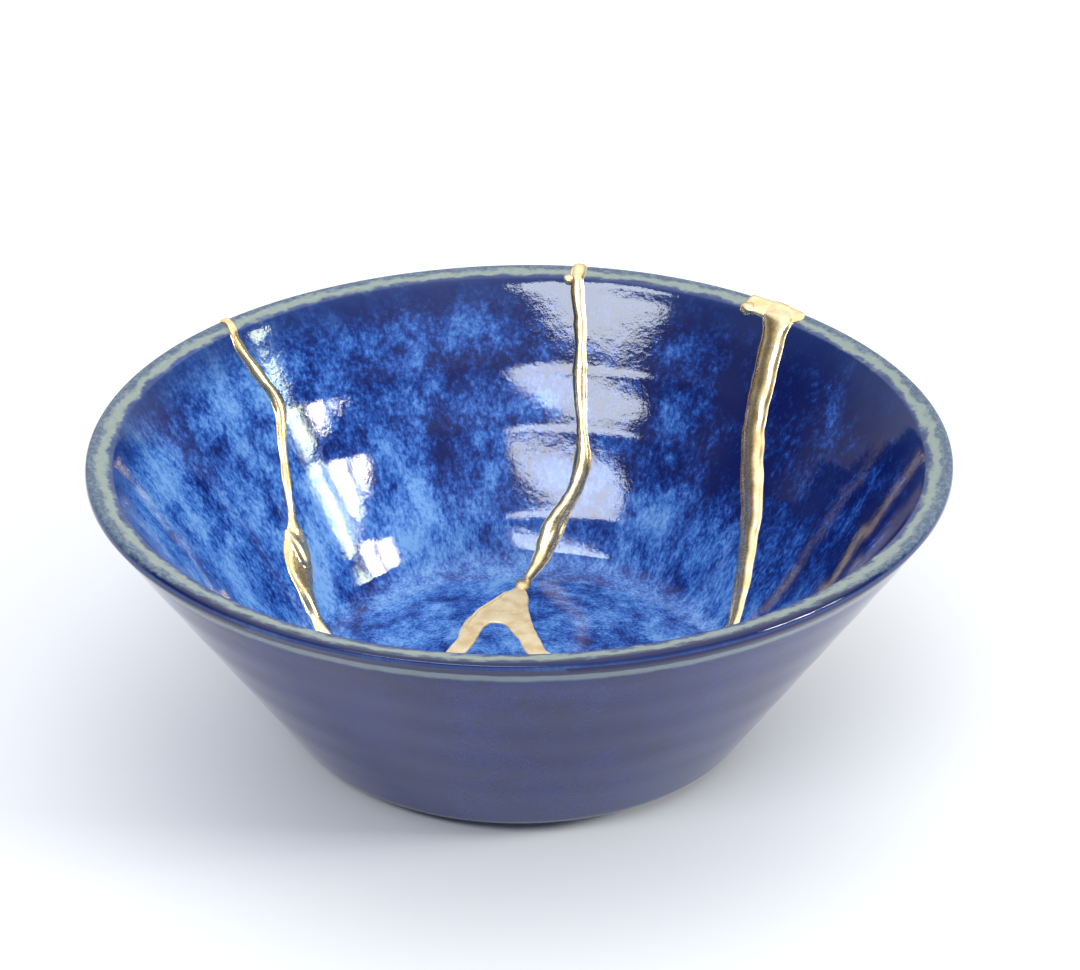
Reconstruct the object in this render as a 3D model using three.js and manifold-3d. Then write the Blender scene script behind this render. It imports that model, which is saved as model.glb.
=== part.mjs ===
// A glazed stoneware bowl, broken and mended with gold lacquer (kintsugi).
// Millimetres, +Z up. The origin is in the middle of the foot ring's underside, +Y is the back of
// the bowl, and the three sherds and the gold between them are one solid each.
import * as THREE from 'three';
import * as BufferGeometryUtils from 'three/addons/utils/BufferGeometryUtils.js';
import Module from 'manifold-3d';

const wasm = await Module();
wasm.setup();

// The bowl's wall and lip
const RIM_DIAMETER = 160;
const HEIGHT = 60;
const WALL = 4.8;
const LIP_FACE = 1.9;
const LIP_ANGLE = THREE.MathUtils.degToRad(12);
const LIP_OUTER_ROUND = 1.1;
const LIP_INNER_ROUND = 0.9;

// The bowl's base, floor and foot ring
const BASE_DIAMETER = 87;
const BASE_ROUND = 5;
const FLOOR_THICKNESS = 5.5;
const FLOOR_ROUND = 14;
const FOOT_DIAMETER = 60;
const FOOT_WIDTH = 5;
const FOOT_HEIGHT = 3.5;
const FOOT_ROUND = 0.7;

// The gold: how thick it is in the crack, how wide a bead is and how proud it stands of the glaze,
// and the gap between the gold and the clay
const SEAM_THICKNESS = 0.6;
const BEAD_WIDTH = 5;
const BEAD_HEIGHT = 1;
const CLEARANCE = 0.3;

// The blobs of gold over the lip, along it and across it
const MIDDLE_CAP_WIDTH = 4.6;
const MIDDLE_CAP_DEPTH = 4.4;
const RIGHT_CAP_WIDTH = 10.6;
const RIGHT_CAP_DEPTH = 7.4;

// How finely round stretches are drawn
const TURN_STEPS = 72;
const ARC_STEP = 3;
const SEAM_STEP = 5;
const END_STEPS = 4;

// Each crack starts outside the lip and runs inwards. A row is one point: its distance from the
// bowl's axis as a share of the rim's radius, its bearing in degrees clockwise from the back, and
// the gold bead's width there as a share of BEAD_WIDTH.
const LEFT_SEAM = [
	[1.06, -47.2, 0.32],
	[0.966, -47.7, 0.32],
	[0.924, -49.0, 0.34],
	[0.87, -48.0, 0.42],
	[0.822, -46.7, 0.5],
	[0.771, -49.4, 0.4],
	[0.715, -53.1, 0.4],
	[0.672, -56.2, 0.34],
	[0.645, -58.4, 1.04],
	[0.612, -61.6, 1.0],
	[0.58, -64.2, 0.76],
	[0.552, -65.9, 0.56],
	[0.505, -69.4, 0.62],
	[0.36, -81.0, 0.6],
	[0.276, -95.0, 0.6],
];
const MIDDLE_SEAM = [
	[1.06, 9.0, 0.6],
	[0.972, 9.2, 0.68],
	[0.928, 9.3, 0.52],
	[0.861, 10.5, 0.48],
	[0.79, 11.3, 0.58],
	[0.714, 12.9, 0.5],
	[0.681, 13.6, 0.64],
	[0.643, 13.0, 0.62],
	[0.579, 8.4, 0.6],
	[0.534, 5.7, 0.6],
	[0.45, 1.0, 0.5],
	[0.418, 0.6, 0.5],
];
const RIGHT_SEAM = [
	[1.06, 41.3, 1.04],
	[0.972, 41.9, 1.02],
	[0.919, 43.8, 0.98],
	[0.856, 45.5, 0.96],
	[0.78, 48.2, 0.92],
	[0.745, 50.7, 0.98],
	[0.711, 53.8, 0.98],
	[0.678, 57.2, 0.94],
	[0.65, 59.7, 0.84],
	[0.6, 65.2, 0.72],
	[0.551, 70.8, 0.66],
	[0.525, 73.8, 0.66],
	[0.42, 86.0, 0.66],
	[0.27, 112.0, 0.64],
];
// The two arms of the fork run over the floor from the middle seam's end to the other two seams.
const FORK_LEFT_ARM = [
	[0.418, 0.0, 0.68],
	[0.364, -5.9, 0.76],
	[0.317, -12.8, 0.94],
	[0.289, -21.3, 0.8],
	[0.252, -29.7, 0.74],
	[0.212, -38.8, 0.72],
	[0.194, -53.6, 0.68],
	[0.276, -95.0, 0.6],
];
const FORK_RIGHT_ARM = [
	[0.418, 0.0, 0.68],
	[0.362, -0.6, 0.8],
	[0.309, -2.8, 1.08],
	[0.256, -0.8, 1.04],
	[0.2, 3.6, 0.84],
	[0.167, 8.2, 0.76],
	[0.121, 17.5, 0.72],
	[0.12, 70.0, 0.66],
	[0.27, 112.0, 0.64],
];
const LIP_CAPS = [
	{ bearing: 8.6, width: MIDDLE_CAP_WIDTH, depth: MIDDLE_CAP_DEPTH },
	{ bearing: 41.5, width: RIGHT_CAP_WIDTH, depth: RIGHT_CAP_DEPTH },
];

// A place in plan, from its share of the rim's radius and its bearing from the back.
function inPlan(share, bearing) {
	const angle = THREE.MathUtils.degToRad(bearing);
	const radius = share * RIM_DIAMETER / 2;
	return new THREE.Vector2(radius * Math.sin(angle), radius * Math.cos(angle));
}

// A smooth route through a seam's rows, as places in plan that carry the bead's width in z.
function smoothRoute(rows) {
	const knots = rows.map(([share, bearing, width]) => {
		const place = inPlan(share, bearing);
		return new THREE.Vector3(place.x, place.y, width * BEAD_WIDTH);
	});
	const curve = new THREE.CatmullRomCurve3(knots, false, 'centripetal');
	return curve.getSpacedPoints(Math.ceil(curve.getLength() / SEAM_STEP));
}

const routes = {
	left: smoothRoute(LEFT_SEAM),
	middle: smoothRoute(MIDDLE_SEAM),
	right: smoothRoute(RIGHT_SEAM),
	forkLeft: smoothRoute(FORK_LEFT_ARM),
	forkRight: smoothRoute(FORK_RIGHT_ARM),
};

// The bowl's section from the axis under the foot, round the lip, to the axis on the floor. Each
// corner has its rounding. The outer and inner wall lines are WALL apart.
function sectionCorners() {
	const rim = RIM_DIAMETER / 2;
	const footOutside = FOOT_DIAMETER / 2;
	const footInside = footOutside - FOOT_WIDTH;
	const wallFoot = new THREE.Vector2(BASE_DIAMETER / 2, FOOT_HEIGHT);
	const wallTop = new THREE.Vector2(rim, HEIGHT - LIP_FACE);
	const along = wallTop.clone().sub(wallFoot).normalize();
	const inwards = WALL / along.y;
	const floor = FOOT_HEIGHT + FLOOR_THICKNESS;
	const slope = along.x / along.y;
	const innerFoot = new THREE.Vector2(wallFoot.x - inwards + (floor - wallFoot.y) * slope, floor);
	const fall = Math.tan(LIP_ANGLE);
	const drop = (rim - innerFoot.x - (HEIGHT - floor) * slope) * fall / (1 - slope * fall);
	const innerTop = new THREE.Vector2(rim - drop / fall, HEIGHT - drop);
	return [
		{ at: new THREE.Vector2(0, FOOT_HEIGHT), round: 0 },
		{ at: new THREE.Vector2(footInside, FOOT_HEIGHT), round: FOOT_ROUND },
		{ at: new THREE.Vector2(footInside, 0), round: FOOT_ROUND },
		{ at: new THREE.Vector2(footOutside, 0), round: FOOT_ROUND },
		{ at: new THREE.Vector2(footOutside, FOOT_HEIGHT), round: FOOT_ROUND },
		{ at: wallFoot, round: BASE_ROUND },
		{ at: wallTop, round: 0 },
		{ at: new THREE.Vector2(rim, HEIGHT), round: LIP_OUTER_ROUND },
		{ at: innerTop, round: LIP_INNER_ROUND },
		{ at: innerFoot, round: FLOOR_ROUND },
		{ at: new THREE.Vector2(0, floor), round: 0 },
	];
}

// The same section grown outwards by a distance, with its corners rounded off.
function section(grow) {
	const corners = sectionCorners();
	const last = corners.length - 1;
	const ways = corners.slice(1).map((corner, i) => corner.at.clone().sub(corners[i].at).normalize());
	const normals = ways.map((way) => new THREE.Vector2(way.y, -way.x));
	const points = [corners[0].at.clone().addScaledVector(normals[0], grow)];
	for (let i = 1; i < last; i++) {
		const before = ways[i - 1];
		const after = ways[i];
		const mitre = normals[i - 1].clone().add(normals[i]);
		const stretch = grow / (1 + normals[i - 1].dot(normals[i]));
		const corner = corners[i].at.clone().addScaledVector(mitre, stretch);
		const turn = Math.atan2(before.cross(after), before.dot(after));
		const radius = Math.max(corners[i].round + Math.sign(turn) * grow, 0);
		if (corners[i].round === 0 || radius === 0) {
			points.push(corner);
			continue;
		}
		const setback = radius * Math.tan(Math.abs(turn) / 2);
		const start = corner.clone().addScaledVector(before, -setback);
		const centre = start.clone().addScaledVector(normals[i - 1], -Math.sign(turn) * radius);
		const steps = Math.max(2, Math.ceil(radius * Math.abs(turn) / ARC_STEP));
		for (let k = 0; k <= steps; k++) {
			points.push(start.clone().rotateAround(centre, turn * k / steps));
		}
	}
	points.push(corners[last].at.clone().addScaledVector(normals[last - 1], grow));
	return points;
}

// A closed solid from a three.js geometry, with shared vertices and no flattened triangles.
function solidOf(geometry) {
	geometry.deleteAttribute('normal');
	geometry.deleteAttribute('uv');
	const merged = BufferGeometryUtils.mergeVertices(geometry);
	const index = merged.index.array;
	const triangles = [];
	for (let i = 0; i < index.length; i += 3) {
		const [a, b, c] = index.slice(i, i + 3);
		if (a !== b && b !== c && c !== a) {
			triangles.push(a, b, c);
		}
	}
	return new wasm.Manifold(new wasm.Mesh({
		numProp: 3,
		vertProperties: merged.attributes.position.array,
		triVerts: Uint32Array.from(triangles),
	}));
}

function turned(points) {
	const geometry = new THREE.LatheGeometry(points, TURN_STEPS);
	geometry.rotateX(Math.PI / 2);
	return solidOf(geometry);
}

// An upright wall over a shape drawn in plan, higher and lower than the whole bowl.
function upright(shape) {
	const depth = 3 * HEIGHT;
	const geometry = new THREE.ExtrudeGeometry(shape, { depth, steps: 1, bevelEnabled: false });
	geometry.translate(0, 0, -HEIGHT);
	return solidOf(geometry);
}

// The outline in plan of a band along a route, with round ends. widthAt gives its width.
function band(route, widthAt) {
	const left = [];
	const right = [];
	const ends = [];
	for (let i = 0; i < route.length; i++) {
		const before = route[Math.max(i - 1, 0)];
		const after = route[Math.min(i + 1, route.length - 1)];
		const way = new THREE.Vector2(after.x - before.x, after.y - before.y).normalize();
		const half = widthAt(route[i]) / 2;
		const place = new THREE.Vector2(route[i].x, route[i].y);
		const side = new THREE.Vector2(-way.y, way.x).multiplyScalar(half);
		left.push(place.clone().add(side));
		right.push(place.clone().sub(side));
		ends.push({ place, side });
	}
	const cap = ({ place, side }, sign) => {
		const arc = [];
		for (let k = 1; k < END_STEPS; k++) {
			const spoke = side.clone().multiplyScalar(sign);
			arc.push(place.clone().add(spoke.rotateAround(new THREE.Vector2(), -Math.PI * k / END_STEPS)));
		}
		return arc;
	};
	const outline = [...left, ...cap(ends.at(-1), 1), ...right.reverse(), ...cap(ends[0], -1)];
	return new THREE.Shape(outline);
}

const joined = (solids) => solids.reduce((whole, solid) => whole.add(solid));
const bands = (names, widthAt) => joined(names.map((name) => upright(band(routes[name], widthAt))));

// The plan of the sherd that lies between two cracks which meet on the floor. Both ends are
// carried straight out past the lip.
function sherdPlan(side, forkArm) {
	const pushedOut = (route) => {
		const end = new THREE.Vector2(route[0].x, route[0].y);
		return end.multiplyScalar(RIM_DIAMETER / end.length());
	};
	const outline = [
		pushedOut(side),
		...side,
		...forkArm.slice(1, -1).reverse(),
		...routes.middle.slice().reverse(),
		pushedOut(routes.middle),
	];
	return upright(new THREE.Shape(outline.map((place) => new THREE.Vector2(place.x, place.y))));
}

const allCracks = Object.keys(routes);
const clay = turned(section(0));
const cracks = bands(allCracks, () => SEAM_THICKNESS + 2 * CLEARANCE);
const broken = clay.subtract(cracks);
const backLeft = sherdPlan(routes.left, routes.forkLeft);
const backRight = sherdPlan(routes.right, routes.forkRight);

function everythingBelow(height) {
	const geometry = new THREE.BoxGeometry(2 * RIM_DIAMETER, 2 * RIM_DIAMETER, HEIGHT);
	geometry.translate(0, 0, height - HEIGHT / 2);
	return solidOf(geometry);
}

function lipCap({ bearing, width, depth }) {
	const middle = inPlan(1, bearing).setLength(RIM_DIAMETER / 2 - depth / 3);
	const turn = -THREE.MathUtils.degToRad(bearing);
	const oval = new THREE.Shape();
	oval.absellipse(middle.x, middle.y, width / 2, depth / 2, 0, 2 * Math.PI, false, turn);
	return upright(new THREE.Shape(oval.getPoints(2 * END_STEPS).slice(0, -1)));
}

// The gold is a thin web in the cracks, with beads that stand proud of the glaze along the seams
// and the fork, and caps on the lip. Under the base there is only the web, flush with the clay
// and clear of the surface that the bowl stands on.
function goldWork() {
	const proud = joined([bands(allCracks, (place) => place.z), ...LIP_CAPS.map(lipCap)])
		.intersect(turned(section(BEAD_HEIGHT)))
		.subtract(everythingBelow(FOOT_HEIGHT));
	const web = bands(allCracks, () => SEAM_THICKNESS).intersect(clay.add(proud));
	return proud.subtract(turned(section(CLEARANCE)))
		.add(web)
		.subtract(everythingBelow(CLEARANCE));
}

const glaze = (color) => new THREE.MeshStandardMaterial({ color, roughness: 0.15, metalness: 0 });
const gold = new THREE.MeshStandardMaterial({ color: 0xd3a54a, roughness: 0.2, metalness: 0.9 });

function piece(name, solid, material) {
	const mesh = solid.getMesh();
	const geometry = new THREE.BufferGeometry();
	geometry.setAttribute('position', new THREE.BufferAttribute(mesh.vertProperties, 3));
	geometry.setIndex(new THREE.BufferAttribute(mesh.triVerts, 1));
	const made = new THREE.Mesh(geometry, material);
	made.name = name;
	return made;
}

const bowl = new THREE.Group();
bowl.name = 'kintsugi_bowl';
bowl.add(
	piece('front_sherd', broken.subtract(backLeft).subtract(backRight), glaze(0x22356f)),
	piece('back_left_sherd', broken.intersect(backLeft), glaze(0x2b4690)),
	piece('back_right_sherd', broken.intersect(backRight), glaze(0x2b4690)),
	piece('gold_seam', goldWork(), gold),
);

export default bowl;
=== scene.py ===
"""Looks of the kintsugi bowl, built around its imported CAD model.

The sherds and the gold are made in millimetres in the frame of the CAD part and turned into metres
when their meshes are written. +Z is up and +Y is the back of the bowl. A place on the bowl's skin
is given by two numbers: how far along the section it lies, from the middle of the underside round
the lip to the middle of the floor, and its bearing, clockwise from the back.
"""
import math

import bpy
import numpy as np
from mathutils import Matrix, Vector


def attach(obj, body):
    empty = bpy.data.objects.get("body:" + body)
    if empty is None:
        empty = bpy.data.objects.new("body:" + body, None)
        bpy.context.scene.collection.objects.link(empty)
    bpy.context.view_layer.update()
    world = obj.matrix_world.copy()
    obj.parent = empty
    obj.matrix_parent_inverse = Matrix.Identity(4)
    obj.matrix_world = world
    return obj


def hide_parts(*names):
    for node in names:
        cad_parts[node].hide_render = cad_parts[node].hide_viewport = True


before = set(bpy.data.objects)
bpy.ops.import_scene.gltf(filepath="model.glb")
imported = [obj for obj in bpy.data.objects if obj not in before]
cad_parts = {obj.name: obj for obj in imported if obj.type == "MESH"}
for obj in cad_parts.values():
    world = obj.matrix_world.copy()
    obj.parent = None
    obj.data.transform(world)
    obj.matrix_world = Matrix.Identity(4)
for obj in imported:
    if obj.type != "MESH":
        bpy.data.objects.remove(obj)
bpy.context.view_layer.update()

MM = 0.001

# Sizes of the bowl in millimetres, as in the CAD part but for FLOOR_ROUND, which is 14 there
RIM_RADIUS = 80.0
HEIGHT = 60.0
WALL = 4.8
LIP_FACE = 1.9
LIP_ANGLE = math.radians(12)
LIP_OUTER_ROUND = 1.1
LIP_INNER_ROUND = 0.9
BASE_RADIUS = 43.5
BASE_ROUND = 5.0
FLOOR_THICKNESS = 5.5
FLOOR_ROUND = 8.0
FOOT_RADIUS = 30.0
FOOT_WIDTH = 5.0
FOOT_HEIGHT = 3.5
FOOT_ROUND = 0.7
FLOOR_Z = FOOT_HEIGHT + FLOOR_THICKNESS

# How far in from the rim's edge the lip ends and the inner wall begins
LIP_REACH = 5.2

# How finely the skin is drawn
AROUND = 480
LINE_STEP = 1.15
ARC_STEP = 0.4
ROUTE_STEP = 0.3

# Finger grooves inside, fitted to where the photo's reflections break: the ridges between them, as
# distances down the wall from the lip's inner edge, and each groove's slope at its ridges
RIDGES = (-2.0, 18.5, 31.0, 49.0, 60.5)
GROOVE_SLOPES = (0.036, 0.048, 0.046, 0.06)
# Where the grooves are shallower, low down at the back left: its bearing and spread in radians, how far
# down the wall it starts, and the share of their depth that is taken away in its middle
CALM_BEARING = -0.78
CALM_SPREAD = 0.3
CALM_DEPTH = 28
CALM_SHARE = 0.6

# Widths of the gold's beads, of the gold in the cracks and of the cracks between the sherds
BEAD_WIDTH = 5.0
WEB_WIDTH = 1.5
CRACK_WIDTH = 1.0

# The cracks, as in the CAD part: distance from the axis as a share of the rim's radius, bearing in
# degrees clockwise from the back, and width of the gold as a share of BEAD_WIDTH
LEFT_SEAM = [
    (1.06, -47.2, 0.32),
    (0.966, -47.7, 0.32),
    (0.924, -49.0, 0.34),
    (0.87, -48.0, 0.42),
    (0.822, -46.7, 0.5),
    (0.771, -49.4, 0.4),
    (0.715, -53.1, 0.4),
    (0.672, -56.2, 0.34),
    (0.645, -58.4, 1.04),
    (0.612, -61.6, 1.0),
    (0.58, -64.2, 0.76),
    (0.552, -65.9, 0.56),
    (0.505, -69.4, 0.62),
    (0.36, -81.0, 0.6),
    (0.276, -95.0, 0.6),
]
MIDDLE_SEAM = [
    (1.06, 9.0, 0.6),
    (0.972, 9.2, 0.68),
    (0.928, 9.3, 0.52),
    (0.861, 10.5, 0.48),
    (0.79, 11.3, 0.58),
    (0.714, 12.9, 0.5),
    (0.681, 13.6, 0.64),
    (0.643, 13.0, 0.62),
    (0.579, 8.4, 0.6),
    (0.534, 5.7, 0.6),
    (0.45, 1.0, 0.5),
    (0.418, 0.6, 0.5),
]
RIGHT_SEAM = [
    (1.06, 41.3, 1.04),
    (0.972, 41.9, 1.02),
    (0.919, 43.8, 0.98),
    (0.856, 45.5, 0.96),
    (0.78, 48.2, 0.92),
    (0.745, 50.7, 0.98),
    (0.711, 53.8, 0.98),
    (0.678, 57.2, 0.94),
    (0.65, 59.7, 0.84),
    (0.6, 65.2, 0.72),
    (0.551, 70.8, 0.66),
    (0.525, 73.8, 0.66),
    (0.42, 86.0, 0.66),
    (0.27, 112.0, 0.64),
]
FORK_LEFT_ARM = [
    (0.418, 0.0, 0.68),
    (0.364, -5.9, 0.76),
    (0.317, -12.8, 0.94),
    (0.289, -21.3, 0.8),
    (0.252, -29.7, 0.74),
    (0.212, -38.8, 0.72),
    (0.194, -53.6, 0.68),
    (0.276, -95.0, 0.6),
]
FORK_RIGHT_ARM = [
    (0.418, 0.0, 0.68),
    (0.362, -0.6, 0.8),
    (0.309, -2.8, 1.08),
    (0.256, -0.8, 1.04),
    (0.2, 3.6, 0.84),
    (0.167, 8.2, 0.76),
    (0.121, 17.5, 0.72),
    (0.12, 70.0, 0.66),
    (0.27, 112.0, 0.64),
]


# Curves and waves
def smooth_route(rows):
    """Places in plan (x, y) and gold width along a smooth curve through a seam's rows."""
    share, bearing, width = np.array(rows).T
    bearing = np.radians(bearing)
    reach = share * RIM_RADIUS
    knots = np.stack([reach * np.sin(bearing), reach * np.cos(bearing), width * BEAD_WIDTH], 1)
    knots = np.vstack([2 * knots[0] - knots[1], knots, 2 * knots[-1] - knots[-2]])
    points = []
    for p0, p1, p2, p3 in zip(knots, knots[1:], knots[2:], knots[3:]):
        before, here, after = (np.sqrt(np.linalg.norm(b - a)) for a, b in ((p0, p1), (p1, p2), (p2, p3)))
        start = ((p1 - p0) / before - (p2 - p0) / (before + here) + (p2 - p1) / here) * here
        end = ((p2 - p1) / here - (p3 - p1) / (here + after) + (p3 - p2) / after) * here
        steps = max(2, int(np.linalg.norm(p2 - p1) / (ROUTE_STEP / 4)))
        t = np.linspace(0, 1, steps, endpoint=False)[:, None]
        points.append(p1 + start * t + (3 * (p2 - p1) - 2 * start - end) * t**2
                      + (2 * (p1 - p2) + start + end) * t**3)
    points = np.vstack(points + [knots[-2:-1]])
    return evenly(points, ROUTE_STEP)


def evenly(points, step):
    """The same line with its points an even distance apart in plan."""
    gaps = np.linalg.norm(np.diff(points[:, :2], axis=0), axis=1)
    along = np.concatenate([[0], np.cumsum(gaps)])
    places = np.linspace(0, along[-1], max(3, int(round(along[-1] / step)) + 1))
    return np.stack([np.interp(places, along, column) for column in points.T], 1)


def wander(places, wavelength, seed, terms=5):
    """A smooth random wave between about -1 and 1, the same on each run."""
    dice = np.random.default_rng(seed)
    total = np.zeros_like(np.asarray(places, float))
    for _ in range(terms):
        length = wavelength * dice.uniform(0.6, 1.9)
        total += np.sin(2 * math.pi * (np.asarray(places) / length + dice.uniform()))
    return total / math.sqrt(terms) / 1.2


def bump(value, middle, spread):
    """A smooth hump of height 1."""
    return np.exp(-((value - middle) / spread) ** 2)


# The section and the skin
def section_corners():
    """The section's corners and their roundings, from the underside round the lip to the floor."""
    wall_foot = np.array([BASE_RADIUS, FOOT_HEIGHT])
    wall_top = np.array([RIM_RADIUS, HEIGHT - LIP_FACE])
    along = (wall_top - wall_foot) / np.linalg.norm(wall_top - wall_foot)
    slope = along[0] / along[1]
    inner_foot = np.array([BASE_RADIUS - WALL / along[1] + FLOOR_THICKNESS * slope, FLOOR_Z])
    fall = math.tan(LIP_ANGLE)
    drop = (RIM_RADIUS - inner_foot[0] - (HEIGHT - FLOOR_Z) * slope) * fall / (1 - slope * fall)
    return [
        ((0, FOOT_HEIGHT), 0),
        ((FOOT_RADIUS - FOOT_WIDTH, FOOT_HEIGHT), FOOT_ROUND),
        ((FOOT_RADIUS - FOOT_WIDTH, 0), FOOT_ROUND),
        ((FOOT_RADIUS, 0), FOOT_ROUND),
        ((FOOT_RADIUS, FOOT_HEIGHT), FOOT_ROUND),
        (wall_foot, BASE_ROUND),
        (wall_top, 0),
        ((RIM_RADIUS, HEIGHT), LIP_OUTER_ROUND),
        ((RIM_RADIUS - drop / fall, HEIGHT - drop), LIP_INNER_ROUND),
        (inner_foot, FLOOR_ROUND),
        ((0, FLOOR_Z), 0),
    ]


def section(grow=0.0):
    """The section's points, grown outwards by a distance, with long lines cut into short ones."""
    corners = [(np.array(at, float), round_) for at, round_ in section_corners()]
    ways = [b[0] - a[0] for a, b in zip(corners, corners[1:])]
    ways = [way / np.linalg.norm(way) for way in ways]
    normals = [np.array([way[1], -way[0]]) for way in ways]
    points = [corners[0][0] + normals[0] * grow]
    for i in range(1, len(corners) - 1):
        at, rounding = corners[i]
        before = ways[i - 1]
        after = ways[i]
        corner = at + (normals[i - 1] + normals[i]) * grow / (1 + normals[i - 1] @ normals[i])
        turn = math.atan2(before[0] * after[1] - before[1] * after[0], before @ after)
        radius = max(rounding + math.copysign(grow, turn), 0)
        if rounding == 0 or radius == 0:
            points.append(corner)
            continue
        start = corner - before * radius * math.tan(abs(turn) / 2)
        centre = start - normals[i - 1] * math.copysign(radius, turn)
        steps = max(4, math.ceil(radius * abs(turn) / ARC_STEP))
        for k in range(steps + 1):
            angle = turn * k / steps
            spin = np.array([[math.cos(angle), -math.sin(angle)], [math.sin(angle), math.cos(angle)]])
            points.append(centre + spin @ (start - centre))
    points.append(corners[-1][0] + normals[-1] * grow)
    fine = [points[0]]
    for a, b in zip(points, points[1:]):
        pieces = max(1, math.ceil(np.linalg.norm(b - a) / LINE_STEP))
        fine += [a + (b - a) * k / pieces for k in range(1, pieces + 1)]
    return np.array(fine)


SECTION = section()
ALONG = np.concatenate([[0], np.cumsum(np.linalg.norm(np.diff(SECTION, axis=0), axis=1))])
LIP_TOP = ALONG[np.argmax(SECTION[:, 1])]
WIDEST = ALONG[np.argmax(SECTION[:, 0])]
INNER = ALONG > LIP_TOP


def inside_at(reach):
    """How far along the section the inner skin has a given distance from the axis."""
    return np.interp(reach, SECTION[INNER][::-1, 0], ALONG[INNER][::-1])


LIP_INSIDE = inside_at(RIM_RADIUS - LIP_REACH)


def skin_normals():
    """The way out of the clay at each point of the section."""
    ways = np.gradient(SECTION, ALONG, axis=0)
    ways /= np.linalg.norm(ways, axis=1)[:, None]
    return np.stack([ways[:, 1], -ways[:, 0]], 1)


NORMALS = skin_normals()


def relief(along, bearing):
    """How far the skin stands out from the smooth section: finger grooves and a slightly uneven lip."""
    along, bearing = np.broadcast_arrays(along, bearing)
    depth = along - LIP_INSIDE
    fade = np.clip(depth / 3, 0, 1) * np.clip((RIDGES[-1] - depth) / 4, 0, 1)
    drifted = depth + 0.9 * np.sin(bearing + 0.6) + 0.5 * np.sin(2 * bearing + 2.1) - 0.6
    inside = np.zeros_like(depth)
    for upper, lower, slope in zip(RIDGES, RIDGES[1:], GROOVE_SLOPES):
        across = np.clip((drifted - upper) / (lower - upper), 0, 1)
        inside -= slope * (lower - upper) * across * (1 - across)
    low_down = np.clip((depth - CALM_DEPTH) / 5, 0, 1)
    inside *= 1 - CALM_SHARE * bump(bearing, CALM_BEARING, CALM_SPREAD) * low_down
    inside += 0.012 * np.sin(9 * bearing + depth / 4) + 0.008 * np.sin(17 * bearing - depth / 2.6)
    outside_fade = np.clip((WIDEST - 3 - along) / 5, 0, 1) * np.clip((along - 58) / 8, 0, 1)
    outside = outside_fade * (0.03 * np.sin(along / 1.9 + 2 * np.sin(bearing)) - 0.03)
    lip = bump(along, LIP_TOP, 7) * (0.14 * np.sin(3 * bearing + 1) + 0.1 * np.sin(5 * bearing) - 0.26)
    return np.where(along > LIP_TOP, fade * inside, outside) + lip


def skin(along, bearing, height=0.0):
    """Points on the bowl's skin, or a height above it."""
    along = np.clip(along, 0, ALONG[-1])
    reach, rise = (np.interp(along, ALONG, SECTION[:, k]) for k in (0, 1))
    out, up = (np.interp(along, ALONG, NORMALS[:, k]) for k in (0, 1))
    lift = relief(along, bearing) + height
    reach = reach + out * lift
    return np.stack([reach * np.sin(bearing), reach * np.cos(bearing), rise + up * lift], -1)


# Meshes
def signed_volume(mesh):
    """A closed mesh's volume, below zero when its faces look inwards."""
    mesh.calc_loop_triangles()
    points = np.empty(len(mesh.vertices) * 3)
    corners = np.empty(len(mesh.loop_triangles) * 3, int)
    mesh.vertices.foreach_get("co", points)
    mesh.loop_triangles.foreach_get("vertices", corners)
    a, b, c = (points.reshape(-1, 3)[corners.reshape(-1, 3)[:, k]] for k in range(3))
    return float(np.einsum("ij,ij->i", a, np.cross(b, c)).sum()) / 6


def mesh_object(name, vertices, faces, smooth_angle=35):
    """An object in the scene from points in millimetres, smooth but for its sharp edges."""
    mesh = bpy.data.meshes.new(name)
    mesh.from_pydata((np.asarray(vertices) * MM).tolist(), [], faces)
    mesh.validate()
    if signed_volume(mesh) < 0:
        mesh.flip_normals()
    mesh.shade_smooth()
    mesh.set_sharp_from_angle(angle=math.radians(smooth_angle))
    made = bpy.data.objects.new(name, mesh)
    bpy.context.scene.collection.objects.link(made)
    return made


def combine(target, tool, operation, smooth_angle=35):
    """Joins, cuts or keeps the shared part of two closed meshes. The tool is used up."""
    step = target.modifiers.new("combine", "BOOLEAN")
    step.solver = "MANIFOLD"
    step.operation = operation
    step.object = tool
    graph = bpy.context.evaluated_depsgraph_get()
    result = bpy.data.meshes.new_from_object(target.evaluated_get(graph))
    target.modifiers.clear()
    old = target.data
    target.data = result
    result.name = target.name
    bpy.data.meshes.remove(old)
    bpy.data.objects.remove(tool)
    result.shade_smooth()
    result.set_sharp_from_angle(angle=math.radians(smooth_angle))
    return target


def copy_of(source, name):
    """The same object again, with a mesh of its own."""
    twin = source.copy()
    twin.data = source.data.copy()
    twin.name = name
    bpy.context.scene.collection.objects.link(twin)
    return twin


def closed_rings(name, rings, first, last):
    """A closed mesh through rings of points, with a point in the middle of each end."""
    count = len(rings[0])
    vertices = np.vstack([*rings, first, last])
    bottom = len(rings) * count
    faces = []
    for j in range(count):
        k = (j + 1) % count
        faces.append((bottom, k, j))
        for i in range(len(rings) - 1):
            faces.append((i * count + j, i * count + k, (i + 1) * count + k, (i + 1) * count + j))
        faces.append((bottom + 1, bottom - count + j, bottom - count + k))
    return mesh_object(name, vertices, faces)


def whole_bowl():
    """The unbroken bowl as one closed mesh, with its relief."""
    bearings = np.arange(AROUND) * 2 * math.pi / AROUND
    rings = [skin(np.full(AROUND, along), bearings) for along in ALONG[1:-1]]
    return closed_rings("whole_bowl", rings, skin(ALONG[:1], np.zeros(1)), skin(ALONG[-1:], np.zeros(1)))


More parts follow.
